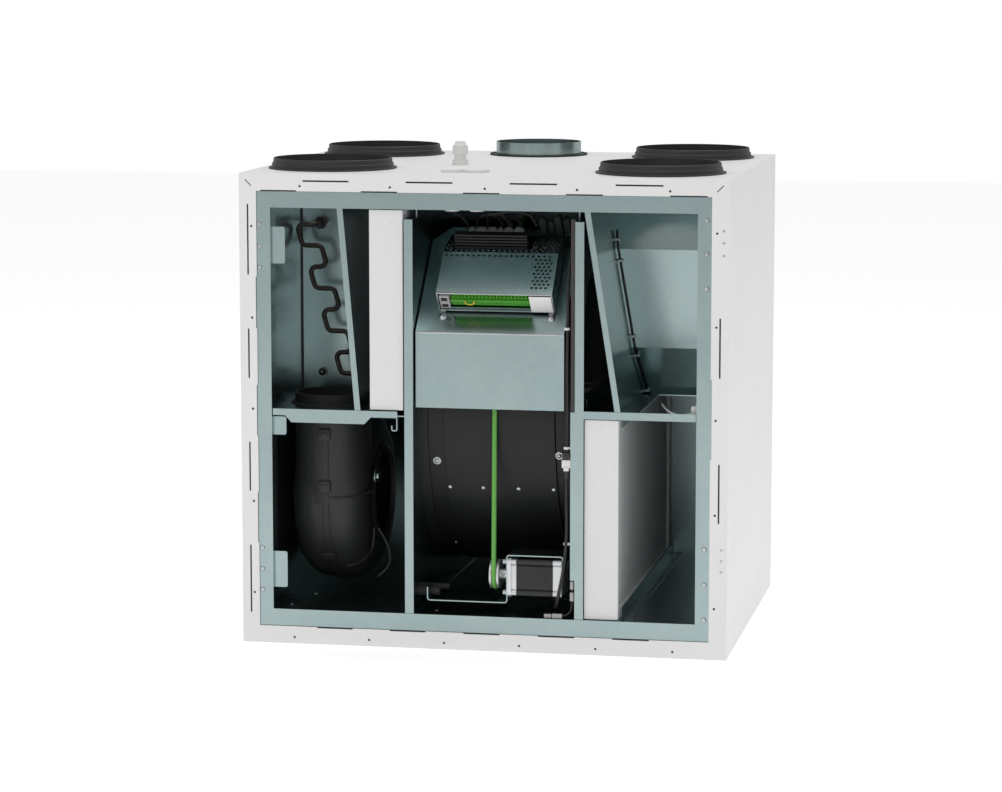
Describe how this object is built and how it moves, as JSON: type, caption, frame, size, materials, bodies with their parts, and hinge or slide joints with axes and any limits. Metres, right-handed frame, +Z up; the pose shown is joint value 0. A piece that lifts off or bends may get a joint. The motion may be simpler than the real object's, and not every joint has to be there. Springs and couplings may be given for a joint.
{
  "type": "heat recovery unit",
  "caption": "Box-shaped ventilation unit with its front door off: rotary heat wheel on a belt drive, fans, panel filters, heater, controller and round duct collars on the roof.",
  "frame": {"origin": "centre of the casing's underside", "axes": "+X to the right as seen from the open front, +Y to the back, +Z up through the duct collars"},
  "size_m": [0.67, 0.545, 0.68],
  "materials": {
    "white_enamel": "semi-gloss white powder coat",
    "galvanised": "galvanised sheet, satin",
    "mineral_wool": "matt fibre board",
    "black_plastic": "moulded, fine satin",
    "black_steel": "satin black",
    "white_plastic": "moulded, matt",
    "filter_paper": "white fibre",
    "wheel_core": "corrugated foil honeycomb",
    "steel": "turned steel",
    "belt_green": "smooth polyurethane cord",
    "alloy": "die cast",
    "black_laminate": "matt black",
    "heater_black": "dark oxidised tube",
    "terminal_green": "moulded green",
    "sink_black": "black anodised",
    "cable_black": "smooth sheath",
    "black_rubber": "matt rubber"
  },
  "bodies": {
    "casing": {"blanking_plugs": "white_plastic", "cable_gland": "white_plastic", "centre_spigot": "galvanised", "chamber_baffles": "galvanised", "chamber_dividers": "galvanised", "control_leads": "cable_black", "control_tray": "galvanised", "controller_case": "galvanised", "controller_lid": "galvanised", "drive_belt": "belt_green", "duct_collar_front_left": "black_plastic", "duct_collar_front_right": "black_plastic", "duct_collar_rear_left": "black_plastic", "duct_collar_rear_right": "black_plastic", "exhaust_fan_scroll": "black_plastic", "fan_motors": "alloy", "fan_outlet_collar": "black_rubber", "filter_rails": "galvanised", "frame_left_post": "galvanised", "frame_rails": "galvanised", "frame_right_post": "galvanised", "frame_rivets": "steel", "heat_sink": "sink_black", "heater_element": "heater_black", "heater_fittings": "heater_black", "insulation_boards": "mineral_wool", "left_partition": "galvanised", "left_shelf": "galvanised", "liner_back": "galvanised", "liner_bottom": "galvanised", "liner_sides": "galvanised", "liner_top": "galvanised", "motor_bracket": "galvanised", "motor_cable": "cable_black", "motor_end_caps": "alloy", "motor_screws": "steel", "motor_stack": "black_laminate", "outer_back_panel": "white_enamel", "outer_bottom_panel": "white_enamel", "outer_left_panel": "white_enamel", "outer_right_panel": "white_enamel", "outer_top_panel": "white_enamel", "right_partition": "galvanised", "right_shelf": "galvanised", "rotor_shaft": "steel", "rubber_buffers": "black_rubber", "spigot_seal": "black_rubber", "supply_fan_scroll": "black_plastic", "terminal_block": "terminal_green", "wheel_shrouds": "black_steel"},
    "wheel": {"rotor_band": "black_steel", "rotor_matrix": "wheel_core", "rotor_hub": "alloy", "rotor_bearings": "steel"},
    "pulley_drive": {"drive_pulley": "alloy", "motor_shaft": "steel"},
    "supply_fan": {"supply_impeller": "black_plastic"},
    "exhaust_fan": {"exhaust_impeller": "black_plastic"},
    "extract_filter_panel": {"extract_filter": "filter_paper"},
    "outdoor_filter_panel": {"outdoor_filter": "filter_paper"}
  },
  "joints": [
    {"name": "wheel_spin", "type": "hinge", "parent": "casing", "child": "wheel", "pos_m": [0.0185, 0, 0.325], "axis": [1, 0, 0], "continuous": true},
    {"name": "motor_spin", "type": "hinge", "parent": "casing", "child": "pulley_drive", "pos_m": [0.0135, -0.2365, 0.101], "axis": [1, 0, 0], "continuous": true},
    {"name": "supply_fan_spin", "type": "hinge", "parent": "casing", "child": "supply_fan", "pos_m": [-0.236, -0.0755, 0.183], "axis": [1, 0, 0], "continuous": true},
    {"name": "exhaust_fan_spin", "type": "hinge", "parent": "casing", "child": "exhaust_fan", "pos_m": [0.225, 0.1055, 0.45], "axis": [1, 0, 0], "continuous": true},
    {"name": "extract_filter_slide", "type": "slide", "parent": "casing", "child": "extract_filter_panel", "axis": [0, -1, 0], "range_m": [0, 0.52]},
    {"name": "outdoor_filter_slide", "type": "slide", "parent": "casing", "child": "outdoor_filter_panel", "axis": [0, -1, 0], "range_m": [0, 0.52]}
  ],
  "couplings": [
    {"joint": "motor_spin", "follows": "wheel_spin", "ratio": 13.7}
  ]
}
